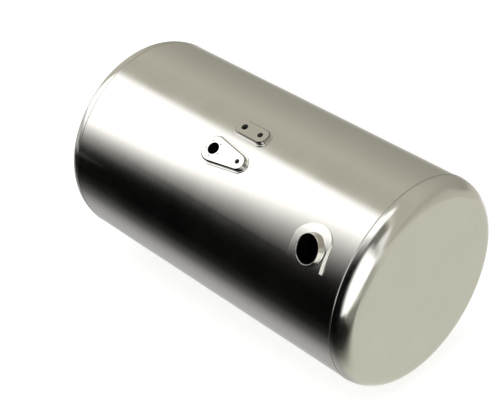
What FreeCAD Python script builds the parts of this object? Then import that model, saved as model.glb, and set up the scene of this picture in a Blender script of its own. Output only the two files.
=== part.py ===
import FreeCAD, Part
import math
import os

# Round welded aluminium truck fuel tank: a rolled shell, two pressed heads, two
# baffles, a filler seat with its neck, a plate for the level sender and a plate
# with two line ports. Millimetres. The origin is the middle of the drum's axis,
# +X runs along that axis to the filler's end, +Z is up and the filler faces -Y.
# An angle on the drum is counted from the top (+Z) over the filler's side (-Y).

V = FreeCAD.Vector
X_AXIS = V(1, 0, 0)
Y_AXIS = V(0, 1, 0)
Z_AXIS = V(0, 0, 1)

# Drum
drum_diameter = 660.4
tank_length = 1212.0
shell_wall = 3.0
seam_angle = 215.0            # where the rolled sheet's two edges meet
seam_gap = 3.0
seam_crown = 0.5              # how far a dressed weld stands above the sheet

# Pressed heads
head_wall = 3.0
knuckle_radius = 57.5
head_step = 0.6               # the heads lie this much inside the shell's face
joggle_start = 0.8            # straight stretch between knuckle and joggle
joggle_run = 3.5
joggle_bend = 1.0
skirt_length = 18.0
skirt_clearance = 0.2
shell_end_clearance = 0.3     # from the joggle's foot to the shell's edge

# Baffles
baffle_wall = 2.5
baffle_spacing = 364.0
baffle_knuckle = 14.0
baffle_flange = 26.0
baffle_clearance = 0.3
eye_radius = 82.0             # the large hole in a baffle's middle
eye_bend = 9.0
eye_lip = 14.0
flow_hole_radius = 30.0
flow_circle_radius = 205.0
flow_hole_count = 6
rim_notch_radius = 24.0       # lets air pass at the top and fuel at the bottom
baffle_stitch_count = 6
baffle_stitch_angle = 12.0

# Filler seat, a saddle that rises from the shell towards its foot
filler_from_end = 185.1       # from the near end face to where the neck's axis leaves the shell
filler_angle = 55.7
neck_lean_out = 6.6           # how much lower the neck points than the shell faces
neck_lean_back = 9.7          # and how much it points away from the near end
seat_half_width = 60.0
seat_arc_radius = 65.0        # the round end meets the straight sides at a blunt corner
seat_arc_side = -6.4          # its centre, seen from the neck's axis
seat_arc_up = 8.2
seat_foot_down = 54.0
seat_roll = 5.0               # the seat's turn about the neck's axis
seat_corner_radius = 4.0
seat_edge_radius = 1.2
seat_face_radius = 222.0
seat_rise = 10.2              # its greatest height above the shell
seat_rise_angle = 61.5        # and where that lies

# Filler neck
neck_outer_radius = 45.0
neck_wall = 2.5
neck_height = 11.0            # above the seat, on the neck's axis
neck_reach = 30.0             # below the shell's face, on the same axis
neck_lip_radius = 1.1
neck_clearance = 0.2

# Plate for the level sender
sender_angle = 37.2
sender_x = -38.6
sender_plate_thickness = 14.0
sender_bore_radius = 19.0
sender_end_radius = 42.0
sender_bolt_circle_radius = 25.5
sender_bolt_hole_radius = 2.1
sender_bolt_depth = 10.0
sender_bolt_count = 5
vent_spacing = 99.0
vent_bore_radius = 7.5
vent_end_radius = 26.0

# Plate with the supply and the return port
port_angle = 19.7
supply_x = -3.0
port_spacing = 63.2
port_plate_thickness = 12.0
port_plate_end_margin = 27.4  # from a port's axis to the plate's end
port_plate_width = 54.0
port_plate_corner = 23.0
supply_bore_radius = 10.5
return_bore_radius = 8.8
port_thread_length = 7.5

# Both plates
plate_chamfer = 3.5
plate_weld_leg = 4.5
cutout_margin = 2.0           # shell holes are this much larger than the bores
neck_weld_leg = 4.5
seat_weld_leg = 2.5

# Tubes inside
supply_tube_radius = 9.5
supply_tube_wall = 1.5
supply_tube_floor_gap = 14.0
return_tube_radius = 8.0
return_tube_wall = 1.5
return_tube_share = 0.62      # of the supply tube's length
tube_clearance = 0.1
tube_cut_angle = 30.0
brace_depth = 300.0
brace_width = 30.0
brace_corner = 14.0
brace_thickness = 5.0
brace_end_margin = 17.0

# Drain in the lowest line of the drum
drain_x = -62.0
drain_angle = 180.0
drain_boss_radius = 24.0
drain_boss_height = 11.0
drain_boss_reach = 6.0
drain_bore_radius = 10.5
drain_boss_weld_leg = 4.0
drain_plug_clearance = 0.08
drain_plug_length = 13.0
drain_plug_across_flats = 27.0
drain_plug_head = 8.0
drain_plug_chamfer = 1.0
drain_washer_radius = 17.0
drain_washer_thickness = 1.5

# Two faces that lie this close together meet
touch = 1e-4

# Sizes that follow from the ones above
R = drum_diameter / 2
R_inner = R - shell_wall
half_length = tank_length / 2
filler_x = half_length - filler_from_end
R_head = R - head_step
R_skirt = R_inner - skirt_clearance
joggle_top_x = half_length - knuckle_radius - joggle_start
joggle_foot_x = joggle_top_x - joggle_run
shell_end_x = joggle_foot_x - shell_end_clearance
R_baffle = R_inner - baffle_clearance


def on_drum(x, angle):
    """Placement on the drum's face: local z points outwards and local y up."""
    turn = FreeCAD.Rotation(X_AXIS, angle)
    return FreeCAD.Placement(V(x, 0, 0) + turn.multVec(V(0, 0, R)), turn)


def placed(shape, placement):
    """A copy of a shape that was drawn in the placement's local axes."""
    copy = shape.copy()
    copy.Placement = placement.multiply(copy.Placement)
    return copy


def rod(radius, length, start, direction=Z_AXIS):
    return Part.makeCylinder(radius, length, start, direction)


def drum_solid(radius):
    """The drum as a solid bar, with its seam line at the bottom."""
    bar = rod(radius, tank_length, V(-half_length, 0, 0), X_AXIS)
    bar.rotate(V(0, 0, 0), X_AXIS, seam_angle)
    return bar


def rounded_path(points, radii):
    """Wire through the points, with a tangent arc of the given radius at each bend."""
    edges = []
    start = points[0]
    for before, corner, after, radius in zip(points, points[1:], points[2:], radii):
        back = (before - corner).normalize()
        ahead = (after - corner).normalize()
        half = back.getAngle(ahead) / 2
        reach = radius / math.tan(half)
        middle = corner + (back + ahead).normalize() * (radius / math.sin(half) - radius)
        entry = corner + back * reach
        leave = corner + ahead * reach
        edges.append(Part.makeLine(start, entry))
        edges.append(Part.Arc(entry, middle, leave).toShape())
        start = leave
    edges.append(Part.makeLine(start, points[-1]))
    return Part.Wire(edges)


def pressed_sheet(points, radii, wall):
    """Sheet of revolution about X: the path is one face, in x and radius.

    A positive wall lies inside a path that starts at the axis and turns outwards
    to a rim, and a negative one lies on the path's other side.
    """
    path = rounded_path([V(x, 0, r) for x, r in points], radii)
    section = path.makeOffset2D(wall, 0, True, True, False)
    return section.revolve(V(0, 0, 0), X_AXIS, 360)


def make_shell():
    """Sheet rolled to a tube, with a gap along its seam, before any hole is cut."""
    corners = [V(-shell_end_x, 0, R_inner), V(-shell_end_x, 0, R)]
    corners += [V(shell_end_x, 0, R), V(shell_end_x, 0, R_inner)]
    section = Part.Face(Part.makePolygon(corners + corners[:1]))
    gap_angle = math.degrees(seam_gap / R)
    sheet = section.revolve(V(0, 0, 0), X_AXIS, 360 - gap_angle)
    sheet.rotate(V(0, 0, 0), X_AXIS, seam_angle + gap_angle / 2)
    return sheet


def make_shell_seam_weld():
    """Bead that fills the gap: crowned outside, and dressed flush inside."""
    half_gap = seam_gap / R / 2
    outer = V(0, R * math.sin(half_gap), R * math.cos(half_gap))
    inner = V(0, R_inner * math.sin(half_gap), R_inner * math.cos(half_gap))
    crown = Part.Arc(V(0, -outer.y, outer.z), V(0, 0, R + seam_crown), outer)
    root = Part.Arc(V(0, -inner.y, inner.z), V(0, 0, R_inner), inner)
    edges = [crown.toShape(), Part.makeLine(outer, inner), root.toShape()]
    edges.append(Part.makeLine(V(0, -inner.y, inner.z), V(0, -outer.y, outer.z)))
    section = Part.Face(Part.Wire(Part.__sortEdges__(edges)))
    bead = section.extrude(V(2 * shell_end_x, 0, 0))
    bead.translate(V(-shell_end_x, 0, 0))
    bead.rotate(V(0, 0, 0), X_AXIS, seam_angle)
    return bead


def make_head():
    """Flat end with a knuckle, joggled so that its skirt slips into the shell."""
    points = [(half_length, 0), (half_length, R_head), (joggle_top_x, R_head)]
    points += [(joggle_foot_x, R_skirt), (joggle_foot_x - skirt_length, R_skirt)]
    return pressed_sheet(points, [knuckle_radius, joggle_bend, joggle_bend], head_wall)


def make_head_weld(head):
    """Dressed bead in the groove between the shell's edge and the joggle."""
    weld_end_x = joggle_top_x + joggle_start / 2
    middle_x = (shell_end_x + weld_end_x) / 2
    on_shell = V(shell_end_x, 0, R)
    on_head = V(weld_end_x, 0, R_head)
    crown = Part.Arc(on_shell, V(middle_x, 0, R + seam_crown), on_head)
    low = [V(weld_end_x, 0, R_inner), V(shell_end_x, 0, R_inner)]
    sides = Part.makePolygon([on_head] + low + [on_shell])
    section = Part.Face(Part.Wire([crown.toShape()] + sides.Edges))
    return section.revolve(V(0, 0, 0), X_AXIS, 360).cut(head)


def mirrored(shape):
    """The same piece at the drum's other end."""
    return shape.mirror(V(0, 0, 0), X_AXIS)


def make_baffle():
    """Flanged disc with a lipped eye, a ring of flow holes and two rim notches."""
    web_x = baffle_spacing / 2
    flange_x = web_x + baffle_flange
    points = [(web_x + eye_lip, eye_radius), (web_x, eye_radius)]
    points += [(web_x, R_baffle), (flange_x, R_baffle)]
    disc = pressed_sheet(points, [eye_bend, baffle_knuckle], -baffle_wall)
    through = V(web_x - baffle_knuckle, 0, 0)
    depth = baffle_flange + 2 * baffle_knuckle
    cutters = []
    for k in range(flow_hole_count):
        turn = FreeCAD.Rotation(X_AXIS, 360 * k / flow_hole_count)
        place = turn.multVec(V(0, 0, flow_circle_radius))
        cutters.append(rod(flow_hole_radius, depth, through + place, X_AXIS))
    for edge_z in (-R_baffle, R_baffle):
        cutters.append(rod(rim_notch_radius, depth, through + V(0, 0, edge_z), X_AXIS))
    return disc.cut(cutters)


def make_baffle_welds():
    """Stitches of fillet weld between the flange's edge and the shell."""
    edge_x = baffle_spacing / 2 + baffle_flange
    leg = baffle_wall + baffle_clearance
    corners = [V(edge_x, 0, R_inner), V(edge_x + leg, 0, R_inner), V(edge_x, 0, R_inner - leg)]
    section = Part.Face(Part.makePolygon(corners + corners[:1]))
    stitches = []
    for k in range(baffle_stitch_count):
        middle_angle = 360 * (k + 0.5) / baffle_stitch_count
        stitch = section.revolve(V(0, 0, 0), X_AXIS, baffle_stitch_angle)
        stitch.rotate(V(0, 0, 0), X_AXIS, middle_angle - baffle_stitch_angle / 2)
        stitches.append(stitch)
    return Part.makeCompound(stitches)


def edge_middle(edge):
    return edge.valueAt((edge.FirstParameter + edge.LastParameter) / 2)


def lies_on(point, solid):
    """Whether a point is on a solid's outer skin."""
    return Part.Vertex(point).distToShape(solid.Shells[0])[0] < touch


def weld_bead(base, piece, leg, concave=False):
    """Fillet weld, flat-faced or concave, round the corner where a piece meets a base."""
    joined = base.fuse(piece)
    corner = []
    for edge in joined.Edges:
        middle = edge_middle(edge)
        if lies_on(middle, base) and lies_on(middle, piece):
            corner.append(edge)
    if concave:
        return joined.makeFillet(leg, corner).cut([base, piece])
    return joined.makeChamfer(leg, corner).cut([base, piece])


def top_edges(prism):
    """Edges of the top face of a prism that stands along z."""
    return max(prism.Faces, key=lambda face: face.CenterOfMass.z).Edges


def tangent_outline(big, small, spacing):
    """Hull of two circles on the x axis, the big one at the origin."""
    lean = math.asin((big - small) / spacing)
    side = V(math.sin(lean), math.cos(lean), 0)
    under = V(side.x, -side.y, 0)
    far = V(spacing, 0, 0)
    far_under = far + under * small
    far_side = far + side * small
    edges = [Part.Arc(side * big, V(-big, 0, 0), under * big).toShape()]
    edges.append(Part.makeLine(under * big, far_under))
    edges.append(Part.Arc(far_under, far + V(small, 0, 0), far_side).toShape())
    edges.append(Part.makeLine(far_side, side * big))
    return Part.Wire(edges)


def rounded_rectangle(length, width, radius):
    """Rectangle with round corners, centred on the origin."""
    x = length / 2
    y = width / 2
    start = V(0, y, 0)
    corners = [V(-x, y, 0), V(-x, -y, 0), V(x, -y, 0), V(x, y, 0)]
    return rounded_path([start] + corners + [start], [radius] * len(corners))


def bolt_points(radius, count):
    """Points on a circle, the first one straight down."""
    angles = [math.radians(-90 + 360 * k / count) for k in range(count)]
    return [V(radius * math.cos(a), radius * math.sin(a), 0) for a in angles]


def plate_blank(outline, thickness):
    """Plate drawn on the drum's face, reaching a little below it."""
    prism = Part.Face(outline).extrude(V(0, 0, 2 * thickness))
    prism.translate(V(0, 0, -thickness))
    return prism.makeChamfer(plate_chamfer, top_edges(prism))


sender_place = on_drum(sender_x, sender_angle)
port_place = on_drum(supply_x, port_angle)
drain_place = on_drum(drain_x, drain_angle)
vent_point = V(vent_spacing, 0, 0)
return_point = V(port_spacing, 0, 0)
socket_top = port_plate_thickness - port_thread_length


def make_sender_plate(blank):
    """Plate with the sender's bore, its ring of tapped holes and the vent port."""
    below = V(0, 0, -sender_plate_thickness)
    through = 2 * sender_plate_thickness
    cutters = [rod(sender_bore_radius, through, below)]
    cutters.append(rod(vent_bore_radius, through, below + vent_point))
    hole_bottom = V(0, 0, sender_plate_thickness - sender_bolt_depth)
    for point in bolt_points(sender_bolt_circle_radius, sender_bolt_count):
        cutters.append(rod(sender_bolt_hole_radius, sender_bolt_depth, hole_bottom + point))
    return placed(blank.cut(cutters), sender_place).cut(drum_solid(R))


def make_port_plate(blank):
    """Plate with two tapped ports, each with a socket for its tube below."""
    below = V(0, 0, -port_plate_thickness)
    socket_depth = port_plate_thickness + socket_top
    cutters = []
    ports = [(V(0, 0, 0), supply_bore_radius, supply_tube_radius)]
    ports.append((return_point, return_bore_radius, return_tube_radius))
    for point, bore_radius, tube_radius in ports:
        cutters.append(rod(bore_radius, port_thread_length, point + V(0, 0, socket_top)))
        cutters.append(rod(tube_radius + tube_clearance, socket_depth, point + below))
    return placed(blank.cut(cutters), port_place).cut(drum_solid(R))


def neck_axes():
    """Placement of the neck: its local z is the axis along which a cap leaves."""
    spot = on_drum(filler_x, filler_angle)
    lean_out = FreeCAD.Rotation(X_AXIS, neck_lean_out)
    lean_back = FreeCAD.Rotation(Y_AXIS, -neck_lean_back)
    return FreeCAD.Placement(spot.Base, spot.Rotation * lean_out * lean_back)


neck_place = neck_axes()


def seat_face_bar():
    """Bar along X whose round face is the seat's face."""
    middle = on_drum(0, seat_rise_angle).multVec(V(0, 0, seat_rise - seat_face_radius))
    bar = rod(seat_face_radius, tank_length, middle + V(-half_length, 0, 0), X_AXIS)
    bar.rotate(middle, X_AXIS, seam_angle)
    return bar


def seat_face_height():
    """Height of the seat's face above the drum's, on the neck's axis."""
    line = Part.makeLine(neck_place.Base, neck_place.multVec(V(0, 0, R)))
    hits = line.section(seat_face_bar().Shells[0]).Vertexes
    return max((hit.Point - neck_place.Base).Length for hit in hits)


def seat_outline():
    """Round at its upper end, with straight sides down to a square foot."""
    half = seat_half_width
    side_top = math.sqrt(seat_arc_radius ** 2 - half ** 2)
    foot = -(seat_foot_down + seat_arc_up)
    left = V(-half, side_top, 0)
    right = V(half, side_top, 0)
    round_end = Part.Arc(left, V(0, seat_arc_radius, 0), right).toShape()
    corners = [right, V(half, foot, 0), V(-half, foot, 0), left]
    sides = rounded_path(corners, [seat_corner_radius] * 2)
    outline = Part.Wire([round_end] + sides.Edges)
    outline.translate(V(seat_arc_side, seat_arc_up, 0))
    outline.rotate(V(0, 0, 0), Z_AXIS, seat_roll)
    return outline


def seat_prism(outline):
    """Prism along the neck's axis, from well inside the drum to well outside."""
    depth = 2 * seat_half_width
    prism = Part.Face(outline).extrude(V(0, 0, 2 * depth))
    prism.translate(V(0, 0, -depth))
    return placed(prism, neck_place)


def make_seat_blank():
    """The seat before its underside is cut to the drum."""
    face_bar = seat_face_bar()
    block = seat_prism(seat_outline()).common(face_bar)
    face_edges = []
    for edge in block.Edges:
        middle = edge_middle(edge)
        outside_drum = math.hypot(middle.y, middle.z) > R
        if outside_drum and lies_on(middle, face_bar):
            face_edges.append(edge)
    return block.makeFillet(seat_edge_radius, face_edges)


def make_seat_weld(drum, seat_blank):
    """Low bead round the seat, which ends where the seat's face runs into the drum."""
    outline = seat_outline().makeOffset2D(seat_weld_leg)
    band = seat_prism(outline).common(drum_solid(R + seat_weld_leg))
    return band.common(seat_face_bar()).cut([drum, seat_blank])


def neck_bar(radius, top, bottom):
    """Bar along the neck's axis between two heights above the drum's face."""
    return placed(rod(radius, top - bottom, V(0, 0, bottom)), neck_place)


def make_neck():
    """Open tube with a rounded lip."""
    top = seat_face_height() + neck_height
    inner_radius = neck_outer_radius - neck_wall
    outer = rod(neck_outer_radius, top + neck_reach, V(0, 0, -neck_reach))
    tube = outer.cut(rod(inner_radius, top + neck_reach, V(0, 0, -neck_reach)))
    return placed(tube.makeFillet(neck_lip_radius, top_edges(tube)), neck_place)


def make_tube(radius, wall, length, point):
    """Tube that hangs from its socket, with its lower end cut at a slant."""
    bottom = socket_top - length
    outer = rod(radius, length, point + V(0, 0, bottom))
    inner = rod(radius - wall, length, point + V(0, 0, bottom))
    slant = Part.makeBox(length, length, length)
    slant.translate(V(-length / 2, -length / 2, -length))
    slant.rotate(V(0, 0, 0), Y_AXIS, tube_cut_angle)
    slant.translate(point + V(-radius, 0, bottom))
    return placed(outer.cut([inner, slant]), port_place)


def make_brace():
    """Flat bar that holds the two tubes together."""
    low = V(0, 0, -brace_depth)
    outline = rounded_rectangle(port_spacing + 2 * brace_end_margin, brace_width, brace_corner)
    bar = Part.Face(outline).extrude(V(0, 0, brace_thickness))
    bar.translate(return_point / 2 + low)
    cutters = [rod(supply_tube_radius + tube_clearance, brace_thickness, low)]
    cutters.append(rod(return_tube_radius + tube_clearance, brace_thickness, low + return_point))
    return placed(bar.cut(cutters), port_place)


def make_drain_boss():
    """Turned boss through the shell, with a tapped bore."""
    length = drain_boss_height + drain_boss_reach
    start = V(0, 0, -drain_boss_reach)
    boss = rod(drain_boss_radius, length, start).cut(rod(drain_bore_radius, length, start))
    return placed(boss, drain_place)


def make_drain_washer():
    """Flat ring between the boss and the plug's head."""
    start = V(0, 0, drain_boss_height)
    ring = rod(drain_washer_radius, drain_washer_thickness, start)
    return placed(ring.cut(rod(drain_bore_radius, drain_washer_thickness, start)), drain_place)


def make_drain_plug():
    """Plug with a hexagon head whose corners are turned off."""
    under_head = drain_boss_height + drain_washer_thickness
    corner_radius = drain_plug_across_flats / math.sqrt(3)
    corners = []
    for k in range(6):
        turn = FreeCAD.Rotation(Z_AXIS, 60 * k)
        corners.append(turn.multVec(V(corner_radius, 0, 0)))
    hexagon = Part.Face(Part.makePolygon(corners + corners[:1]))
    head = hexagon.extrude(V(0, 0, drain_plug_head))
    turned = rod(corner_radius, drain_plug_head, V(0, 0, 0))
    rim = max(turned.Edges, key=lambda edge: edge.CenterOfMass.z)
    head = head.common(turned.makeChamfer(drain_plug_chamfer, [rim]))
    head.translate(V(0, 0, under_head))
    shank_radius = drain_bore_radius - drain_plug_clearance
    shank = rod(shank_radius, drain_plug_length, V(0, 0, under_head - drain_plug_length))
    tip = min(shank.Edges, key=lambda edge: edge.CenterOfMass.z)
    shank = shank.makeChamfer(drain_plug_chamfer, [tip])
    return placed(head.fuse(shank).removeSplitter(), drain_place)


def shell_cutters():
    """Everything that passes through the shell."""
    start = V(0, 0, -R / 2)
    cutters = [neck_bar(neck_outer_radius + neck_clearance, neck_reach, -neck_reach)]
    for radius, point, place in (
            (sender_bore_radius + cutout_margin, V(0, 0, 0), sender_place),
            (vent_bore_radius + cutout_margin, vent_point, sender_place),
            (supply_tube_radius + cutout_margin, V(0, 0, 0), port_place),
            (return_tube_radius + cutout_margin, return_point, port_place),
            (drain_boss_radius, V(0, 0, 0), drain_place)):
        cutters.append(placed(rod(radius, R, start + point), place))
    return cutters


def build():
    """All pieces by name."""
    drum = drum_solid(R)
    head = make_head()
    head_weld = make_head_weld(head)
    baffle = make_baffle()
    baffle_welds = make_baffle_welds()
    sender_outline = tangent_outline(sender_end_radius, vent_end_radius, vent_spacing)
    sender_blank = plate_blank(sender_outline, sender_plate_thickness)
    placed_sender_blank = placed(sender_blank, sender_place)
    port_length = port_spacing + 2 * port_plate_end_margin
    port_outline = rounded_rectangle(port_length, port_plate_width, port_plate_corner)
    port_outline.translate(return_point / 2)
    port_blank = plate_blank(port_outline, port_plate_thickness)
    placed_port_blank = placed(port_blank, port_place)
    seat_blank = make_seat_blank()
    neck_hole = neck_bar(neck_outer_radius + neck_clearance, R, -R)
    neck_solid = neck_bar(neck_outer_radius, seat_face_height() + neck_height, -neck_reach)
    boss_bar = rod(drain_boss_radius, R / 2 + drain_boss_height, V(0, 0, -R / 2))
    supply_length = 2 * R - shell_wall - supply_tube_floor_gap + socket_top
    return_length = return_tube_share * supply_length
    supply_tube = make_tube(supply_tube_radius, supply_tube_wall, supply_length, V(0, 0, 0))
    return_tube = make_tube(return_tube_radius, return_tube_wall, return_length, return_point)
    return {
        "shell": make_shell().cut(shell_cutters()),
        "shell_seam_weld": make_shell_seam_weld(),
        "filler_end_head": head,
        "far_end_head": mirrored(head),
        "filler_end_weld": head_weld,
        "far_end_weld": mirrored(head_weld),
        "filler_end_baffle": baffle,
        "far_end_baffle": mirrored(baffle),
        "filler_end_baffle_stitches": baffle_welds,
        "far_end_baffle_stitches": mirrored(baffle_welds),
        "filler_seat": seat_blank.cut([drum, neck_hole]),
        "filler_seat_weld": make_seat_weld(drum, seat_blank),
        "filler_neck": make_neck(),
        "filler_neck_weld": weld_bead(seat_face_bar(), neck_solid, neck_weld_leg, concave=True),
        "sender_plate": make_sender_plate(sender_blank),
        "sender_plate_weld": weld_bead(drum, placed_sender_blank, plate_weld_leg),
        "port_plate": make_port_plate(port_blank),
        "port_plate_weld": weld_bead(drum, placed_port_blank, plate_weld_leg),
        "supply_tube": supply_tube,
        "return_tube": return_tube,
        "tube_brace": make_brace(),
        "drain_boss": make_drain_boss(),
        "drain_boss_weld": weld_bead(drum, placed(boss_bar, drain_place), drain_boss_weld_leg),
        "drain_washer": make_drain_washer(),
        "drain_plug": make_drain_plug(),
    }


os.makedirs("parts", exist_ok=True)
for name, shape in build().items():
    shape.exportStep(os.path.join("parts", name + ".step"))
    box = shape.BoundBox
    print(f"{name:28s} solids {len(shape.Solids)} valid {shape.isValid()}", end=" ")
    print(f"volume {shape.Volume / 1000:9.2f} cm3", end=" ")
    print(f"size {box.XLength:.1f} x {box.YLength:.1f} x {box.ZLength:.1f}")
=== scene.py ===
# %% [markdown]
# # A polished aluminium fuel tank
#
# The tank is a rolled drum with two pressed ends. Its solids come from the CAD model and
# stay as they are. This lesson dresses them: it sets up a small photo studio, gives every
# kind of metal its own finish, and adds the weld ripples and threads that the solids leave
# plain.

# %% Load the solids
import math

import bmesh
import bpy
import numpy as np
from mathutils import Matrix, Vector


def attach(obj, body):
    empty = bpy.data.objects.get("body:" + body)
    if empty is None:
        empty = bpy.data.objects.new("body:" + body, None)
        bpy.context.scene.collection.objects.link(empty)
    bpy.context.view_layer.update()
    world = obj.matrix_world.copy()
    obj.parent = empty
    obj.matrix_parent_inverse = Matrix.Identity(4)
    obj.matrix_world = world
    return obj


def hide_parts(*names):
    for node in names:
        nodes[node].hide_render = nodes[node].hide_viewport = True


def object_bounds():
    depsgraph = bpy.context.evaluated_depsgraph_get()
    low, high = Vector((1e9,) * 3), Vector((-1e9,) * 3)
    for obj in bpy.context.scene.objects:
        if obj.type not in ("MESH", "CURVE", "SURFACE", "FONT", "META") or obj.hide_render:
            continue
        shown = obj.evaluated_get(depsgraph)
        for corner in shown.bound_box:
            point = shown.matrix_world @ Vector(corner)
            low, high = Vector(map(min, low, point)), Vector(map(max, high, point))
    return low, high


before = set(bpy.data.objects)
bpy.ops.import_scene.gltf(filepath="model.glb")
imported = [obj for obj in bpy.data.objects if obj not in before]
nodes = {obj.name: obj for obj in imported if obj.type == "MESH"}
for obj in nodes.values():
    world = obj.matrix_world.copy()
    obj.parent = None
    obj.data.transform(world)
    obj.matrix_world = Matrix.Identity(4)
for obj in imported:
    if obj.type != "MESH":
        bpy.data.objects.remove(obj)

cad_low, cad_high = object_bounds()
mm = 0.001
drum_radius = 330.2 * mm
print("solids", len(nodes), "box", tuple(cad_low), tuple(cad_high))

# %% [markdown]
# ## The camera
#
# The photograph looks down on the drum from in front of its filler end, with a long lens, so
# that the near end is only a little larger than the far one. A camera can be aimed with a
# constraint, but three axes written out give the same picture on every run. The camera is
# level, so its right-hand axis is at a right angle to both the upright and the line of sight.

# %% Aim the camera
camera_place = Vector((2.3666, -2.4059, 2.3297))
camera_back = Vector((0.589946, -0.575476, 0.566385)).normalized()
camera_right = Vector((0, 0, 1)).cross(camera_back).normalized()
camera_up = camera_back.cross(camera_right)

camera_data = bpy.data.cameras.new("long_lens")
camera_data.sensor_fit = "HORIZONTAL"
camera_data.sensor_width = 36
camera_data.lens = 95.59
camera = bpy.data.objects.new("long_lens", camera_data)
axes = Matrix((camera_right, camera_up, camera_back)).transposed()
camera.matrix_world = Matrix.Translation(camera_place) @ axes.to_4x4()
bpy.context.scene.collection.objects.link(camera)
bpy.context.scene.camera = camera
bpy.context.scene.view_settings.view_transform = "Standard"
print("camera is", round(camera_place.length, 2), "m from the drum's middle")

# %% [markdown]
# ## Surfaces from numbers
#
# Everything that is added here is a surface over two parameters: a grid of points that is
# worked out at once as an array. One helper turns such a grid into a mesh. A grid may close
# on itself, as a tube does, along either parameter. A grid that closes both ways is a ring,
# and its faces are turned outwards once it is whole.

# %% Grid to mesh


def grid_faces(rows, columns, rows_close=False, columns_close=False):
    """Quads of a grid: corner (i, j) joins (i + 1, j), (i + 1, j + 1) and (i, j + 1)."""
    i = np.arange(rows if rows_close else rows - 1)[:, None]
    j = np.arange(columns if columns_close else columns - 1)[None, :]
    i_next, j_next = (i + 1) % rows, (j + 1) % columns
    corners = [i * columns + j, i_next * columns + j]
    corners += [i_next * columns + j_next, i * columns + j_next]
    return np.stack([np.broadcast_to(c, (i.size, j.size)) for c in corners], -1).reshape(-1, 4)


def make_piece(name, points, faces, material):
    """An object at the origin whose mesh holds the points and faces, shaded smooth."""
    mesh = bpy.data.meshes.new(name)
    mesh.from_pydata(np.reshape(points, (-1, 3)).tolist(), [], faces.tolist())
    mesh.polygons.foreach_set("use_smooth", np.ones(len(mesh.polygons), bool))
    mesh.materials.append(material)
    mesh.update()
    piece = bpy.data.objects.new(name, mesh)
    bpy.context.scene.collection.objects.link(piece)
    print(name, "points", len(mesh.vertices), "faces", len(mesh.polygons))
    return piece


def face_outwards(piece):
    """Turns the faces of a closed mesh outwards."""
    shape = bmesh.new()
    shape.from_mesh(piece.data)
    bmesh.ops.recalc_face_normals(shape, faces=shape.faces)
    shape.to_mesh(piece.data)
    shape.free()


# %% [markdown]
# ## Building a material
#
# A material is a small graph. These helpers keep the graphs short: one adds a node with its
# settings, another reads the place of a point on the object. A number that is the same all
# over a surface is written on the shader itself, and only patterns are wired in.

# %% Material helpers


def add(tree, kind, inputs=None, **settings):
    """Adds a node, with its sockets by name or number and its own settings by keyword."""
    made = tree.nodes.new(kind)
    for key, value in settings.items():
        setattr(made, key, value)
    for key, value in (inputs or {}).items():
        if isinstance(value, bpy.types.NodeSocket):
            tree.links.new(value, made.inputs[key])
        else:
            made.inputs[key].default_value = value
    return made


def calculate(tree, operation, first, second):
    """One step of arithmetic in a material."""
    return add(tree, "ShaderNodeMath", {0: first, 1: second}, operation=operation).outputs[0]


def new_material(name):
    """An empty material, its tree and its output node."""
    material = bpy.data.materials.new(name)
    material.use_nodes = True
    tree = material.node_tree
    tree.nodes.clear()
    return material, tree, add(tree, "ShaderNodeOutputMaterial")


def place_on_object(tree):
    """Place of a point in the object's own frame, in metres."""
    return add(tree, "ShaderNodeTexCoord").outputs["Object"]


def seen_directly(tree):
    """1 for what the camera, a mirror or a glass looks at, and 0 for light on its way."""
    rays = add(tree, "ShaderNodeLightPath").outputs
    mirrored = calculate(tree, "MAXIMUM", rays["Is Camera Ray"], rays["Is Glossy Ray"])
    return calculate(tree, "MAXIMUM", mirrored, rays["Is Transmission Ray"])


# %% [markdown]
# ## The floor and the sky
#
# A product studio has a pale floor that runs into a white background. The floor here is a
# matt white sheet with a share of its own glow, which brings it to plain white where nothing
# shades it and still lets the tank's soft shadow show. The sky is white where it is seen, and
# a calmer grey where it only lights the scene.

# %% Floor
floor_height = cad_low.z - 0.5 * mm
floor_half = 14.0
floor_glow = 0.62
floor_paint = (0.72, 0.72, 0.71, 1)
plain_white = (1, 1, 1, 1)

material, tree, output = new_material("studio_floor")
glow_strength = calculate(tree, "MULTIPLY", seen_directly(tree), floor_glow)
glow = add(tree, "ShaderNodeEmission", {"Color": plain_white, "Strength": glow_strength})
matt = add(tree, "ShaderNodeBsdfDiffuse", {"Color": floor_paint})
both = add(tree, "ShaderNodeAddShader", {0: glow.outputs[0], 1: matt.outputs[0]})
tree.links.new(both.outputs[0], output.inputs["Surface"])

x, y = np.meshgrid([-floor_half, floor_half], [-floor_half, floor_half], indexing="ij")
floor_points = np.stack([x, y, np.full_like(x, floor_height)], -1)
floor = make_piece("studio_floor", floor_points, grid_faces(2, 2), material)

# %% Sky
light_from_sky = 0.55
sky_as_seen = 1.0

world = bpy.data.worlds.new("studio_sky")
bpy.context.scene.world = world
world.use_nodes = True
tree = world.node_tree
tree.nodes.clear()
lighting = add(tree, "ShaderNodeBackground", {"Color": plain_white, "Strength": light_from_sky})
white = add(tree, "ShaderNodeBackground", {"Color": plain_white, "Strength": sky_as_seen})
sky = add(tree, "ShaderNodeMixShader", {
    0: seen_directly(tree), 1: lighting.outputs[0], 2: white.outputs[0]})
tree.links.new(sky.outputs[0], add(tree, "ShaderNodeOutputWorld").inputs["Surface"])
print("sky lights with", light_from_sky, "and is seen as", sky_as_seen)

# %% [markdown]
# ## Light for polished metal
#
# Polished metal has hardly any shade of its own: it shows what stands round it. The
# photograph has a wide white band along the drum's shoulder, a slow fade to black below it,
# and calm warm greys over the top and behind. Photographers get that with a light tent: a
# half tube of cloth over the object, glowing where a lamp stands behind it, grey where none
# does, and black in front, low down. Large lamps could stand round the tank instead, but
# each would need its own shape and fade. The tent here is one half tube along the drum. Its
# glow is worked out for every corner of its grid and kept on the mesh as a colour. Only
# mirrors see it, so the floor and the picture's background stay plain.

# %% Glowing cloth


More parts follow.
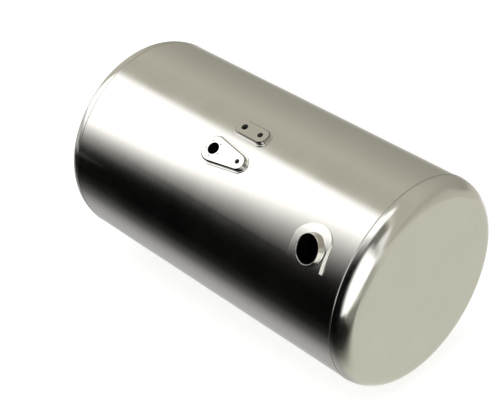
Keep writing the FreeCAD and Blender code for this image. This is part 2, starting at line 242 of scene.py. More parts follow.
def smooth_step(values, low, high):
    """0 below low, 1 above high, and 3 t^2 - 2 t^3 between them."""
    t = np.clip((values - low) / (high - low), 0, 1)
    return t * t * (3 - 2 * t)


def glowing_cloth(name, points, tone, warm_tint, warmth, cover):
    """Cloth that only reflections show, and that neither shades nor blocks anything.

    Every corner has a tone, a warmth from 0, neutral, to 1, the warm tint, and a cover from
    0, clear, to 1.
    """
    material, tree, output = new_material(name)
    colour = add(tree, "ShaderNodeAttribute", attribute_name="glow").outputs
    light = add(tree, "ShaderNodeEmission", {"Color": colour["Color"], "Strength": 1.0})
    clear = add(tree, "ShaderNodeBsdfTransparent")
    woven = add(tree, "ShaderNodeMixShader", {
        0: colour["Alpha"], 1: clear.outputs[0], 2: light.outputs[0]})
    tree.links.new(woven.outputs[0], output.inputs["Surface"])
    rows, columns = tone.shape
    piece = make_piece(name, points, grid_faces(rows, columns), material)
    tint = 1 + (np.array(warm_tint) - 1) * warmth[..., None]
    glow = np.concatenate([tone[..., None] * tint, cover[..., None]], -1)
    attribute = piece.data.color_attributes.new("glow", "FLOAT_COLOR", "POINT")
    attribute.data.foreach_set("color", glow.astype(np.float32).ravel())
    piece.visible_camera = False
    piece.visible_diffuse = False
    piece.visible_shadow = False
    piece.visible_transmission = False


# %% [markdown]
# The tent's tones follow the angle round the drum's axis, counted from straight up over to
# the front. Behind and above it is warm grey cloth. Over the front hangs white cloth, whose
# lower edge runs slantwise: it hangs lower towards the far end, and fades to black below
# that edge. The first lists give a tone for each angle, and for each angle past the edge.

# %% Tones round the tent
tent_radius = 1.6
tent_half_length = 12.0
tent_tint = (1.03, 0.998, 0.875)
grey_angles = [-110, -101, -96, -84, -72, -60, -49, -37, -26, -14, -3, 8, 20]
grey_tones = [0.95, 0.72, 0.41, 0.375, 0.42, 0.45, 0.50, 0.55, 0.61, 0.58, 0.57, 0.62, 0.0]
fade_angles = [-8, -4, 0, 3, 7, 10.5, 13.5, 17, 20, 22.5, 25.5, 33]
fade_tones = [1.85, 1.4, 1.0, 0.78, 0.52, 0.36, 0.24, 0.12, 0.055, 0.026, 0.010, 0.003]
edge_places = [-1.9, -1.2, -0.6, -0.3, 0.1, 0.4]
edge_angles = [76.5, 65.5, 50.0, 43.0, 34.0, 33.0]
edge_widths = [1.0, 1.0, 1.5, 1.7, 1.0, 1.0]
print("the white cloth's edge hangs from", edge_angles[-1], "to", edge_angles[0], "degrees")

# %% [markdown]
# Six places differ from those lists. Behind, the cloth past the near end is one even grey,
# and low down beside the near half it is at least a middle grey. The white cloth's upper
# edge lies further back beside the near end. Past that end a dark gap opens in it, which
# lightens a little further on, and a second white panel low in front gives the knuckle its
# bright crescent. Past the far end no cloth is darker than a middle grey. Bright cloth and
# the cloth in front are neutral, and the rest is warm. Each pair of numbers says where such
# a change begins and where it is complete: in metres along the drum, in degrees round it,
# or in tone.

# %% Patches of the tent
corner_tone = 0.60
corner_along = (0.9, 1.5)
corner_round = (45, 80)
low_back_tone = 0.63
low_back_along = (0.0, 0.4)
low_back_round = (84, 92)

top_edge = (-2, 15)
top_edge_shift = 9
shift_begins = (0.1, 0.3)
shift_ends = (0.55, 0.75)

gap_darkness = 0.88
gap_begins = (0.54, 0.74)
gap_round = (3, 16)
gap_lightening = 0.55
gap_lightens = (1.4, 2.1)

panel_tone = 1.85
panel_along = (0.66, 1.15)
panel_round = (30, 47)

far_end_tone = 0.62
far_end_along = (2.1, 3.2)
neutral_tones = (0.6, 1.1)
neutral_round = (20, 40)

# %% Tent
# The steps are wide far away and fine beside the tank.
tent_x = np.concatenate([
    np.linspace(-tent_half_length, -3, 10),
    np.linspace(-2.9, 4, 70),
    np.linspace(4.5, tent_half_length, 12)])
angle_steps = 141
low_angle = math.degrees(math.acos(floor_height / tent_radius))
x, angle = np.meshgrid(tent_x, np.linspace(-low_angle, low_angle, angle_steps), indexing="ij")

grey = np.interp(angle, grey_angles, grey_tones)
in_corner = smooth_step(x, *corner_along) * smooth_step(-angle, *corner_round)
grey += (corner_tone - grey) * in_corner
low_back = smooth_step(x, *low_back_along) * smooth_step(-angle, *low_back_round)
grey += np.maximum(low_back_tone - grey, 0) * low_back

past_edge = angle - np.interp(x, edge_places, edge_angles)
past_edge /= np.interp(x, edge_places, edge_widths)
shift = top_edge_shift * smooth_step(x, *shift_begins) * (1 - smooth_step(x, *shift_ends))
white_cloth = np.interp(past_edge, fade_angles, fade_tones)
white_cloth *= smooth_step(angle + shift, *top_edge)
gap = smooth_step(x, *gap_begins) * (1 - gap_lightening * smooth_step(x, *gap_lightens))
white_cloth *= 1 - gap_darkness * gap * smooth_step(angle, *gap_round)
side_panel = panel_tone * smooth_step(x, *panel_along) * smooth_step(angle, *panel_round)
tone = np.maximum(np.maximum(grey, white_cloth), side_panel)
tone = np.maximum(tone, far_end_tone * smooth_step(-x, *far_end_along))
warmth = 1 - smooth_step(tone, *neutral_tones)
warmth *= 1 - smooth_step(angle, *neutral_round)

radians = np.radians(angle)
tent_points = np.stack([x, -tent_radius * np.sin(radians), tent_radius * np.cos(radians)], -1)
glowing_cloth("light_tent", tent_points, tone, tent_tint, warmth, np.ones_like(tone))

# %% [markdown]
# A gauze lies over the floor for the mirrors alone. In front it goes from grey beside the
# tank to black, which is what the drum's dark lower half shows. Under the tank it is clear,
# and well behind the tank it is white. Past the near end it is warm grey, which gives the
# flat end its calm tone, and fades to black towards the front. A few patches there are
# lighter or darker, and the knuckle mirrors them as thin bands. Far past the far end it is
# grey again. The lists give a tone for each distance from the drum's axis towards the front,
# and each patch has a tone, a stretch along the drum and a stretch towards the front.

# %% Tones of the gauze
gauze_tint = (1.0, 1.0, 0.885)
gauze_height = floor_height + 2 * mm
front_distances = [0.12, 0.17, 0.20, 0.25, 0.31, 0.38, 0.47, 0.59, 0.78]
front_tones = [1.15, 0.72, 0.55, 0.50, 0.50, 0.37, 0.12, 0.017, 0.003]
end_distances = [0.26, 0.32, 0.36, 0.45, 0.54, 0.70]
end_tones = [0.74, 0.66, 0.50, 0.20, 0.05, 0.01]
near_end_along = (0.50, 0.60)
behind_tone = 1.0
behind_distance = (0.5, 0.8)
clear_distance = (0.12, 0.17)
gauze_far_along = (1.5, 2.3)
dim_patch = (0.28, (1.0, 1.4), (0.3, 0.5))
shade_patch = (0.24, (1.35, 1.8), (-0.5, -0.1))
shade_limit = 0.4
grey_patch = (0.62, (1.5, 2.3), (0.2, 0.5))
white_patch = (1.3, (1.1, 1.45), (1.12, 1.4))
print("gauze goes from tone", front_tones[0], "to", front_tones[-1], "in front")

# %% Gauze on the floor
# The steps are wide far away and fine beside the tank.
gauze_x = np.concatenate([
    np.linspace(-tent_half_length, -2.5, 8),
    np.linspace(-2.4, 3, 217),
    np.linspace(3.5, tent_half_length, 12)])
gauze_forward = np.concatenate([np.linspace(-2.6, -0.05, 40), np.linspace(-0.02, 1.6, 109)])
x, forward = np.meshgrid(gauze_x, gauze_forward, indexing="ij")


def patch(tone, along, ahead):
    """A tone that comes up over one stretch along the drum and one towards the front."""
    return tone * smooth_step(x, *along) * smooth_step(forward, *ahead)


past_end = np.interp(forward, end_distances, end_tones)
past_end = np.maximum(past_end, patch(*dim_patch))
past_end -= patch(*shade_patch) * (forward < shade_limit)
past_end = np.maximum(past_end, patch(*grey_patch))
past_end = np.maximum(past_end, patch(*white_patch))

near_end = smooth_step(x, *near_end_along)
in_front = np.interp(forward, front_distances, front_tones)
tone = in_front * (1 - near_end) + past_end * near_end
behind = smooth_step(-forward, *behind_distance) * (1 - near_end)
tone += (behind_tone - tone) * behind
tone = np.maximum(tone, far_end_tone * smooth_step(-x, *gauze_far_along))
cover = np.maximum(np.maximum(smooth_step(forward, *clear_distance), near_end), behind)
gauze_points = np.stack([x, -forward, np.full_like(x, gauze_height)], -1)
glowing_cloth("floor_gauze", gauze_points, tone, gauze_tint, near_end, cover)

# %% [markdown]
# One broad lamp high in front on the left gives matt things their shape and the floor its
# shadow. It is as wide as a window, so the shadow has no edge, and the metal doesn't mirror
# it, because the tent already stands for it there.

# %% Key lamp
key_strength = 1.2
key_width = 70
key_from = Vector((-0.35, -0.45, 1.0))

key_data = bpy.data.lights.new("key_lamp", "SUN")
key_data.energy = key_strength
key_data.angle = math.radians(key_width)
key = bpy.data.objects.new("key_lamp", key_data)
key.rotation_mode = "QUATERNION"
key.rotation_quaternion = key_from.to_track_quat("Z", "Y")
key.visible_glossy = False
bpy.context.scene.collection.objects.link(key)
print("key lamp strength", key_strength, "width", key_width, "degrees")

# %% [markdown]
# ## Where the fittings sit
#
# Each fitting has its own small set of axes, as a maker would scribe them on the drum: a
# centre on the drum's face, an axis that points out of it, and two directions across. The
# welds, the threads and the tool marks are all worked out in those axes. The filler's axis
# leans: its neck points a little lower than the drum faces, and away from the near end.

# %% Axes of the fittings
filler_x = 420.9 * mm
filler_angle = 55.7
neck_lean_out = 6.6
neck_lean_back = 9.7
sender_x = -38.6 * mm
sender_angle = 37.2
supply_x = -3.0 * mm
port_angle = 19.7
drain_x = -62.0 * mm
drain_angle = 180.0


def turn_about(axis, degrees):
    """Turn about X, Y or Z, as a 3 by 3 array."""
    return np.array(Matrix.Rotation(math.radians(degrees), 3, axis))


def axes_on_drum(x, angle, lean=np.eye(3)):
    """Centre and axes (as columns) on the drum's face, at an angle from the top to the front."""
    turn = turn_about("X", angle)
    centre = np.array([x, 0, 0]) + drum_radius * turn[:, 2]
    return centre, turn @ lean


neck_lean = turn_about("X", neck_lean_out) @ turn_about("Y", -neck_lean_back)
filler_centre, filler_axes = axes_on_drum(filler_x, filler_angle, neck_lean)
sender_centre, sender_axes = axes_on_drum(sender_x, sender_angle)
port_centre, port_axes = axes_on_drum(supply_x, port_angle)
drain_centre, drain_axes = axes_on_drum(drain_x, drain_angle)
print("filler axis", filler_axes[:, 2].round(3))

# %% [markdown]
# ## Finishes
#
# Each metal is one shader, fully metallic. What makes it a finish is the pattern of the
# tool that made it: belts leave fine lines round a drum or along a plate, a lathe leaves
# rings, and weld metal has no direction. A picture of brushed metal could give such lines,
# but it would stretch and repeat. Noise that is stretched along the tool's path does
# neither, and it drives three things a little each: the colour, the roughness and the
# relief. A second, broad noise is the haze of handling and wiping that even a new tank has.
# Noise mostly lies between 0.3 and 0.7, and the sum of two between 0.7 and 1.3, so the
# shades are spread over those ranges.

# %% One metal finish
usual_noise = (0.3, 0.7)
usual_sum = (0.7, 1.3)
line_depth = 0.004 * mm
colour_swing = 0.03
rough_swing = 0.04
bare_sheet = (0.30, 0.30, 0.29, 1)
bare_roughness = 0.3
bare_depths = (2 * mm, 1 * mm)
# Share of the tint left on a plate's chamfer: a painted dark reflection.
chamfer_shade_share = 0.36
cut_roughness = 0.06
haze_detail = 4.0


def stretched(tree, vector, scale, detail=3.0):
    """Noise over a vector whose axes are each multiplied: large numbers make fine lines."""
    wide = add(tree, "ShaderNodeVectorMath", {0: vector, 1: scale}, operation="MULTIPLY").outputs[0]
    return add(tree, "ShaderNodeTexNoise", {"Vector": wide, "Scale": 1.0, "Detail": detail}).outputs["Fac"]


def spread(tree, value, low, high, to_low, to_high):
    """A value from low to high, mapped to run from to_low to to_high and held there."""
    sockets = {"Value": value, "From Min": low, "From Max": high, "To Min": to_low, "To Max": to_high}
    return add(tree, "ShaderNodeMapRange", sockets).outputs[0]


def blend(tree, factor, first, second):
    """Colour between two colours, each given as numbers or as a socket."""
    return add(tree, "ShaderNodeMix", {0: factor, 6: first, 7: second}, data_type="RGBA").outputs[2]


def distance_from_axis(tree, vector, keep):
    """Length of a vector after one or more of its parts are set to 0 by a mask of 0 and 1."""
    flat = add(tree, "ShaderNodeVectorMath", {0: vector, 1: keep}, operation="MULTIPLY").outputs[0]
    return add(tree, "ShaderNodeVectorMath", {0: flat}, operation="LENGTH").outputs["Value"]


def metal(name, tint, shine, lines, haze_size=7.0, dull_inside=False, painted_dark_chamfer=None):
    """A metal: tint is its colour, shine its roughness, lines the vector and scale of its tool marks.

    Dull inside leaves the drum's inner face as bare sheet. A painted dark chamfer is a function
    that gives 1 on a plate's chamfer, which is duller and carries a painted dark reflection.
    """
    material, tree, output = new_material(name)
    vector, scale = lines(tree)
    marks = stretched(tree, vector, scale)
    haze = stretched(tree, place_on_object(tree), (haze_size,) * 3, haze_detail)
    light = tuple(min(1.0, c * (1 + colour_swing)) for c in tint) + (1,)
    dark = tuple(c * (1 - colour_swing) for c in tint) + (1,)
    tone = spread(tree, calculate(tree, "ADD", marks, haze), *usual_sum, 0.0, 1.0)
    colour = blend(tree, tone, dark, light)
    rough_haze = spread(tree, haze, *usual_noise, shine - rough_swing, shine + rough_swing)
    rough_marks = spread(tree, marks, *usual_noise, -rough_swing / 2, rough_swing / 2)
    roughness = calculate(tree, "ADD", rough_haze, rough_marks)
    if dull_inside:
        radius = distance_from_axis(tree, place_on_object(tree), (0, 1, 1))
        deep, shallow = [drum_radius - depth for depth in bare_depths]
        inside = spread(tree, radius, deep, shallow, 1.0, 0.0)
        colour = blend(tree, inside, colour, bare_sheet)
        roughness = calculate(tree, "ADD", roughness, calculate(tree, "MULTIPLY", inside, bare_roughness))
    # A plate's chamfer is painted darker as a dark reflection; its added roughness is real.
    if painted_dark_chamfer:
        share = painted_dark_chamfer(tree)
        colour = blend(tree, share, colour, tuple(chamfer_shade_share * c for c in tint) + (1,))
        roughness = calculate(tree, "ADD", roughness, calculate(tree, "MULTIPLY", share, cut_roughness))
    relief = add(tree, "ShaderNodeBump", {"Height": marks, "Strength": 1.0, "Distance": line_depth})
    shader = add(tree, "ShaderNodeBsdfPrincipled", {
        "Base Color": colour, "Roughness": roughness, "Normal": relief.outputs[0], "Metallic": 1.0})
    tree.links.new(shader.outputs[0], output.inputs["Surface"])
    return material


# %% [markdown]
# A tool mark is a vector and a scale for each of its parts. Where the scale is large the
# noise changes fast, which draws a line, and where it is small the line runs on. A lathe's
# lines need the distance from its axis as one of those parts.

# %% Tool marks
belt_on_drum = (700.0, 2.5, 2.5)
disc_on_end = (700.0, 60.0, 2.0)
lathe_on_fitting = (900.0, 6.0, 900.0)
belt_on_plate = (9.0, 900.0, 60.0)
no_direction = (500.0, 500.0, 500.0)
plate_chamfer = 3.5 * mm
chamfer_blur = 0.2 * mm
chamfer_start = 0.1 * mm


def round_the_drum(tree):
    """Belt lines: fine along the drum's axis, long round it."""
    return place_on_object(tree), belt_on_drum


def rings(tree):
    """Rings on an end: fine in the distance from the drum's axis, long along the ring."""
    radius = distance_from_axis(tree, place_on_object(tree), (0, 1, 1))
    place = add(tree, "ShaderNodeSeparateXYZ", {0: place_on_object(tree)}).outputs
    vector = add(tree, "ShaderNodeCombineXYZ", {"X": radius, "Y": place["X"], "Z": place["Y"]})
    return vector.outputs[0], disc_on_end


def own_axes(tree, centre, axes):
    """Place of a point in a fitting's own axes."""
    turn = Matrix(axes.tolist()).to_euler()
    sockets = {"Vector": place_on_object(tree), "Location": centre, "Rotation": turn}
    return add(tree, "ShaderNodeMapping", sockets, vector_type="TEXTURE").outputs[0]


def turned(centre, axes):
    """Lathe lines round a fitting's own axis: fine along the axis and across it."""
    def lines(tree):
        """Distance from the axis, place across and height, with their scales."""
        local = own_axes(tree, centre, axes)
        radius = distance_from_axis(tree, local, (1, 1, 0))
        place = add(tree, "ShaderNodeSeparateXYZ", {0: local}).outputs
        vector = add(tree, "ShaderNodeCombineXYZ", {"X": radius, "Y": place["X"], "Z": place["Z"]})
        return vector.outputs[0], lathe_on_fitting
    return lines


def along_a_plate(centre, axes):
    """Belt lines along a small plate."""
    def lines(tree):
        """Place in the plate's axes, with a small scale along it and a large one across."""
        return own_axes(tree, centre, axes), belt_on_plate
    return lines


def chamfer_of(centre, axes, top):
    """1 on the sloping edge of a plate whose flat top is at a height, 0 on its top and walls."""
    start, end = top - chamfer_start, top - plate_chamfer

    def share(tree):
        """Product of two soft steps in height, one below the top and one above the walls."""
        local = own_axes(tree, centre, axes)
        height = add(tree, "ShaderNodeSeparateXYZ", {0: local}).outputs["Z"]
        below = spread(tree, height, start - chamfer_blur, start, 1.0, 0.0)
        above = spread(tree, height, end - chamfer_blur, end, 0.0, 1.0)
        return calculate(tree, "MULTIPLY", below, above)
    return share


def all_round(tree):
    """No direction at all, as on weld metal or a zinc coat."""
    return place_on_object(tree), no_direction


# %% [markdown]
# The outside is polished aluminium, apart from the drain's plug, which has a zinc coat, and
# its washer. Baffles, tubes and their brace stay as they came from the mill. The welds
# between drum and ends are dressed with a disc, which leaves them greyer than the polish,
# and the threads are painted nearly black, as the shade deep in their bores.

# %% The metals
polished_tint = (0.67, 0.655, 0.61)
weld_tint = (0.60, 0.59, 0.56)
dressed_tint = (0.46, 0.455, 0.43)
mill_tint = (0.42, 0.42, 0.41)
zinc_tint = (0.60, 0.60, 0.60)
soft_tint = (0.66, 0.66, 0.65)
# The thread tint below is painted shade, deep in the threaded bores.
bore_shade_tint = (0.075, 0.073, 0.068)
sender_top = 14.0 * mm
port_top = 12.0 * mm

drum_finish = metal("polished_drum", polished_tint, 0.16, round_the_drum, dull_inside=True)
end_finish = metal("polished_end", polished_tint, 0.16, rings)
seat_finish = metal("polished_seat", polished_tint, 0.16, along_a_plate(filler_centre, filler_axes))
# The plates' chamfers get a painted dark reflection along them.
sender_finish = metal(
    "polished_sender_plate", polished_tint, 0.15, along_a_plate(sender_centre, sender_axes),
    painted_dark_chamfer=chamfer_of(sender_centre, sender_axes, sender_top))
port_finish = metal(
    "polished_port_plate", polished_tint, 0.15, along_a_plate(port_centre, port_axes),
    painted_dark_chamfer=chamfer_of(port_centre, port_axes, port_top))
neck_finish = metal("turned_neck", polished_tint, 0.14, turned(filler_centre, filler_axes))
boss_finish = metal("turned_boss", polished_tint, 0.18, turned(drain_centre, drain_axes))
weld_finish = metal("weld_metal", weld_tint, 0.20, all_round, haze_size=60.0)
dressed_finish = metal("dressed_weld", dressed_tint, 0.24, all_round, haze_size=60.0)
mill_finish = metal("mill_sheet", mill_tint, 0.42, all_round)
zinc_finish = metal("zinc_plated_steel", zinc_tint, 0.30, all_round, haze_size=90.0)
soft_finish = metal("soft_washer", soft_tint, 0.34, all_round)
# Threads: nearly black, painted shade deep in their bores.
painted_shade_thread_finish = metal("thread_painted_shade", bore_shade_tint, 0.42, all_round, haze_size=200.0)

# %% Finishes on the solids
finishes = {
    "shell": drum_finish, "filler_end_head": end_finish, "far_end_head": end_finish,
    "filler_seat": seat_finish, "filler_neck": neck_finish,
    "sender_plate": sender_finish, "port_plate": port_finish, "drain_boss": boss_finish,
    "filler_end_baffle": mill_finish, "far_end_baffle": mill_finish,
    "supply_tube": mill_finish, "return_tube": mill_finish, "tube_brace": mill_finish,
    "filler_end_weld": dressed_finish, "far_end_weld": dressed_finish,
    "drain_plug": zinc_finish, "drain_washer": soft_finish}
for name, node in nodes.items():
    finish = finishes.get(name, weld_finish)
    if not node.data.materials:
        node.data.materials.append(finish)
    for k in range(len(node.material_slots)):
        node.material_slots[k].material = finish
print("finished", len(nodes), "solids with", len(set(finishes.values())) + 1, "metals")

# %% [markdown]
# ## Weld beads
#
# A welder lays a bead in small steps, and each step leaves a crescent, like a row of coins
# pushed over. The solids have plain bands there. Relief in a material could draw ripples on
# them, but a bead's outline would stay plain, so each bead is made again as a surface and
# stands for its solid. It is a profile carried along the corner between a fitting and what
# it stands on. The corner is the fitting's outline, dropped along its axis on to the round
# face below. The ripples are a wave along the bead whose crests are bent by the profile.

# %% Bead along a corner
bead_step = 0.55 * mm
ripple_length = 2.2 * mm
ripple_bend = 0.35
hidden = 0.3 * mm
hidden_shift = hidden / 3
corner_sink = 0.1 * mm


def drop_on_round(points, direction, centre, radius):
    """Moves points along a direction on to a round bar along X.

    Across X a point p + t d is on the bar where |p + t d - c| = r, a quadratic in t.
    """
    p, d = (points - centre)[..., 1:], direction[1:]
    a = d @ d
    b = p @ d
    c = (p * p).sum(-1) - radius ** 2
    t = (-b + np.sqrt(b * b - a * c)) / a
    return points + t[..., None] * direction


def unit(vectors):
    """Each vector divided by its length."""
    return vectors / np.linalg.norm(vectors, axis=-1, keepdims=True)


def side_lengths(outline):
    """Lengths of a closed line's sides, the last of which leads back to its start."""
    closed = np.concatenate([outline, outline[:1]])
    return np.linalg.norm(np.diff(closed, axis=0), axis=1)


def even_steps(outline, count):
    """Points at even distances along a closed line."""
    closed = np.concatenate([outline, outline[:1]])
    far = np.concatenate([[0], np.cumsum(side_lengths(outline))])
    at = np.linspace(0, far[-1], count, endpoint=False)
    return np.stack([np.interp(at, far, closed[:, k]) for k in range(closed.shape[1])], -1)


def round_profile(count=11):
    """Quarter circle bulging out: (sin u, cos u), out and up, for u from 0 to 90 degrees."""
    u = np.radians(np.linspace(0, 90, count))
    return np.stack([np.sin(u), np.cos(u)], -1)


def hollow_profile(count=11):
    """Quarter circle that runs into the wall and the face: (1 - cos u, 1 - sin u)."""
    u = np.radians(np.linspace(0, 90, count))
    return np.stack([1 - np.cos(u), 1 - np.sin(u)], -1)


def shoulder_profile(count=37, power=9.0):
    """Nearly square shoulder: |out|^p + |up|^p = 1, with p the power."""
    u = np.radians(np.linspace(0, 90, count))
    return np.stack([np.sin(u) ** (2 / power), np.cos(u) ** (2 / power)], -1)


def bead(name, outline, centre, axes, face_below, shape, replaced):
    """Bead in the corner between a fitting's wall and the round face that it stands on.

    The face below is given by its middle and radius, and the shape by how far the bead goes
    out and up, its profile and its swell. At a corner point q with outward direction m and
    wall direction w a profile point (s, h) is q + out s m + up h w. Both ends run on a little
    way into the metal, so that the seam of the closed section is hidden. The size swings by
    the swell, a small share, at every ripple.
    """
    base_centre, base_radius = face_below
    out, up, profile, swell = shape
    around = side_lengths(outline).sum()
    count = int(around / bead_step)
    flat = even_steps(outline, count)
    corner = centre + flat @ axes[:, :2].T
    corner = drop_on_round(corner, axes[:, 2], base_centre, base_radius)
    along = unit(np.roll(corner, -2, 0) - np.roll(corner, 2, 0))
    face = unit((corner - base_centre) * [0, 1, 1])
    outward = unit(np.cross(along, face))
    middle = centre + flat.mean(0) @ axes[:, :2].T
    outward *= np.sign(((corner - middle) * outward).sum(-1, keepdims=True))
    wall = np.broadcast_to(axes[:, 2], corner.shape)
    corner = corner - corner_sink * wall
    if callable(up):
        up = up(flat)[:, None]
        out = np.minimum(out, up)
    ripples = max(1, round(around / ripple_length))
    turns = np.arange(count)[:, None] / count * ripples
    phase = turns - ripple_bend * np.sin(math.pi * profile[:, 0])[None, :]
    size = 1 + swell * np.cos(2 * math.pi * phase)
    reach = (out * size * profile[None, :, 0])[..., None]
    height = (up * size * profile[None, :, 1])[..., None]
    first = hidden * unit(profile[0] - profile[1])
    last = hidden * unit(profile[-1] - profile[-2])
    reach_ends = reach[:, :1] + first[0] - hidden_shift, reach[:, -1:] + last[0]
    height_ends = height[:, :1] + first[1], height[:, -1:] + last[1] - hidden_shift
    reach = np.concatenate([reach_ends[0], reach, reach_ends[1]], 1)
    height = np.concatenate([height_ends[0], height, height_ends[1]], 1)
    arc = corner[:, None] + reach * outward[:, None] + height * wall[:, None]
    inside = corner[:, None] - hidden * (outward + wall)[:, None]
    points = np.concatenate([arc, inside], 1)
    piece = make_piece(name, points, grid_faces(count, points.shape[1], True, True), weld_finish)
    face_outwards(piece)
    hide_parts(replaced)
    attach(piece, "root")


# %% [markdown]
# An outline is a closed line in a fitting's own two directions. The sender's plate is the
# hull of two circles, the port plate a rectangle with round corners, the seat a tombstone,
# and neck and drain boss are circles. Each has the same sizes as its solid.

# %% Outlines of the fittings
sender_end_radius = 42 * mm
vent_end_radius = 26 * mm
vent_spacing = 99 * mm
port_spacing = 63.2 * mm
port_plate_length = 118 * mm
port_plate_width = 54 * mm
port_plate_corner = 23 * mm
seat_half_width = 60 * mm
seat_arc_radius = 65 * mm
seat_arc_middle = (-6.4 * mm, 8.2 * mm)
seat_foot_down = 54 * mm
seat_roll = 5.0
neck_radius = 45 * mm
boss_radius = 24 * mm


def circle(radius, middle=(0.0, 0.0), start=0.0, end=360.0, count=180):
    """Points on an arc, counted in degrees from local x towards local y."""
    at = np.radians(np.linspace(start, end, count, endpoint=end - start < 360))
    return np.stack([middle[0] + radius * np.cos(at), middle[1] + radius * np.sin(at)], -1)


def drop_shape(big, small, spacing):
    """Hull of two circles: each keeps the arc on its own side of the common tangents."""
    lean = math.degrees(math.acos((big - small) / spacing))
    near = circle(big, (0, 0), lean, 360 - lean)
    far = circle(small, (spacing, 0), -lean, lean)
    return np.concatenate([near, far])


def round_rectangle(length, width, radius, middle_x):
    """Four quarter circles, joined by the straight sides."""
    a, b = length / 2 - radius, width / 2 - radius
    corners = [(a, b, 0), (-a, b, 90), (-a, -b, 180), (a, -b, 270)]
    arcs = [circle(radius, (middle_x + cx, cy), turn, turn + 90, 40) for cx, cy, turn in corners]
    return np.concatenate(arcs)


def tombstone(half, arc_radius, arc_middle, foot, roll):
    """A round end that meets two straight sides at a blunt corner, and a square foot."""
    top = math.degrees(math.acos(half / arc_radius))
    arc = circle(arc_radius, (0, 0), top, 180 - top)
    foot_y = -(foot + arc_middle[1])
    outline = np.concatenate([arc, [[-half, foot_y], [half, foot_y]]]) + arc_middle
    turn = turn_about("Z", roll)[:2, :2]
    return outline @ turn.T


sender_outline = drop_shape(sender_end_radius, vent_end_radius, vent_spacing)
port_outline = round_rectangle(port_plate_length, port_plate_width, port_plate_corner, port_spacing / 2)
seat_outline = tombstone(seat_half_width, seat_arc_radius, seat_arc_middle, seat_foot_down, seat_roll)
neck_outline = circle(neck_radius)
boss_outline = circle(boss_radius)
print("sender outline", len(sender_outline), "port outline", len(port_outline))

# %% [markdown]
# The seat is a block with a round face of its own, flatter than the drum, that runs into
# the drum at the top. Its bead is thick where its wall is high and dies out where the wall
# is low, so its leg follows the height of the wall. The two plates stand on a low square
# shoulder, the drain boss has a full round bead, and the neck a smooth hollow one.

# %% Seat face
drum_middle = np.zeros(3)
seat_face_radius = 222.0 * mm
seat_rise = 10.2 * mm
seat_rise_angle = 61.5
rise_direction = turn_about("X", seat_rise_angle)[:, 2]
seat_face_middle = (drum_radius + seat_rise - seat_face_radius) * rise_direction
bare_wall = 4.5 * mm
leg_share = 0.7
smallest_leg = 0.04 * mm
largest_leg = 2.6 * mm


def seat_leg(flat):
    """Height of the seat's bead: a share of what its wall has over the bare wall, within limits."""
    start = filler_centre + flat @ filler_axes[:, :2].T
    low = drop_on_round(start, filler_axes[:, 2], drum_middle, drum_radius)
    high = drop_on_round(start, filler_axes[:, 2], seat_face_middle, seat_face_radius)
    height = (high - low) @ filler_axes[:, 2]
    return np.clip(leg_share * (height - bare_wall), smallest_leg, largest_leg)


# %% Beads
on_drum = (drum_middle, drum_radius)
on_seat = (seat_face_middle, seat_face_radius)
# how far out, how far up, the profile and the swell of the ripples
plate_shape = (5.0 * mm, 3.2 * mm, shoulder_profile(), 0.0015)
boss_shape = (4.0 * mm, 4.0 * mm, round_profile(), 0.035)
seat_shape = (1.5 * mm, seat_leg, round_profile(), 0.03)
neck_shape = (4.2 * mm, 4.2 * mm, hollow_profile(), 0.012)
bead("sender_plate_bead", sender_outline, sender_centre, sender_axes, on_drum, plate_shape,
     "sender_plate_weld")
bead("port_plate_bead", port_outline, port_centre, port_axes, on_drum, plate_shape,
     "port_plate_weld")
bead("drain_boss_bead", boss_outline, drain_centre, drain_axes, on_drum, boss_shape,
     "drain_boss_weld")
bead("filler_seat_bead", seat_outline, filler_centre, filler_axes, on_drum, seat_shape,
     "filler_seat_weld")
bead("filler_neck_bead", neck_outline, filler_centre, filler_axes, on_seat, neck_shape,
     "filler_neck_weld")

# %% [markdown]
# ## Threads
#
# The ports and the sender's screw holes are tapped. A thread is one groove that winds round
# the bore, so the bore's radius depends on the height and on the turn together. A Screw
# modifier could wind a profile, but its ends would stay open. Here each thread is a thin
# closed sleeve just inside its plain bore: its inner skin has the groove, its outer skin is
# round, and it narrows at the bottom like a tapered pipe thread. Its colour is nearly black:
# painted shade of the deep bore.

# %% Thread sleeve
sleeve_gap = 0.02 * mm
crest_gap = 0.06 * mm
run_in = (0.0, 0.06)
run_out = (0.86, 1.0)
rows_a_turn = 10
fewest_rows = 24


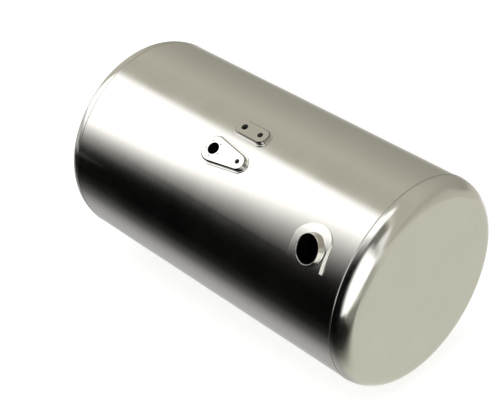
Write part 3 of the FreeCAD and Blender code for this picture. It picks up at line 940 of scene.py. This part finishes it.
def sleeve_points(middle, centre, axes, top, length, radius, pitch, depth, narrow, columns):
    """Inner skin of radius r - depth g, with g the groove's triangle wave of height and turn."""
    rows = max(fewest_rows, int(length / pitch * rows_a_turn))
    share = np.linspace(0, 1, rows)[:, None]
    turn = np.linspace(0, 2 * math.pi, columns, endpoint=False)[None, :]
    height = top - share * length
    wave = np.abs(((height / pitch + turn / (2 * math.pi)) % 1) * 2 - 1)
    cut = depth * wave * smooth_step(share, *run_in)
    inner = radius - crest_gap - cut - narrow * smooth_step(share, *run_out)
    outer = np.full((2, columns), radius - sleeve_gap)
    ring = np.concatenate([inner, outer])
    heights = np.concatenate([height, [[top - length], [top]]])
    x, y = middle[0] + ring * np.cos(turn), middle[1] + ring * np.sin(turn)
    return centre + np.stack([x, y, np.broadcast_to(heights, ring.shape)], -1) @ axes.T


def sleeves(name, places, centre, axes, columns=72, **sizes):
    """One piece that holds a closed sleeve for every bore in the list."""
    grids = [sleeve_points(middle, centre, axes, columns=columns, **sizes) for middle in places]
    rows, columns = grids[0].shape[:2]
    faces = grid_faces(rows, columns, True, True)
    all_faces = np.concatenate([faces + k * rows * columns for k in range(len(grids))])
    points = np.concatenate([grid.reshape(-1, 3) for grid in grids])
    # The sleeves carry the painted shade of their bores.
    piece = make_piece(name, points, all_faces, painted_shade_thread_finish)
    face_outwards(piece)
    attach(piece, "root")


# %% Threads in the ports and screw holes
pipe_pitch = 1.814 * mm
fine_pipe_pitch = 1.411 * mm
screw_pitch = 0.8 * mm
port_depth = 7.4 * mm
vent_depth = 13.5 * mm
screw_depth = 9.9 * mm
supply_radius = 10.5 * mm
return_radius = 8.8 * mm
vent_radius = 7.5 * mm
screw_radius = 2.1 * mm
screw_circle = 25.5 * mm
screw_count = 5

screw_turns = np.radians(-90 + 360 / screw_count * np.arange(screw_count))
screw_places = [(screw_circle * math.cos(a), screw_circle * math.sin(a)) for a in screw_turns]
sleeves("supply_thread", [(0, 0)], port_centre, port_axes, top=port_top, length=port_depth,
        radius=supply_radius, pitch=pipe_pitch, depth=1.0 * mm, narrow=1.9 * mm)
sleeves("return_thread", [(port_spacing, 0)], port_centre, port_axes, top=port_top, length=port_depth,
        radius=return_radius, pitch=pipe_pitch, depth=1.0 * mm, narrow=1.7 * mm)
sleeves("vent_thread", [(vent_spacing, 0)], sender_centre, sender_axes, top=sender_top, length=vent_depth,
        radius=vent_radius, pitch=fine_pipe_pitch, depth=0.8 * mm, narrow=0.4 * mm)
sleeves("sender_screw_threads", screw_places, sender_centre, sender_axes, 28, top=sender_top,
        length=screw_depth, radius=screw_radius, pitch=screw_pitch, depth=0.4 * mm, narrow=0.3 * mm)
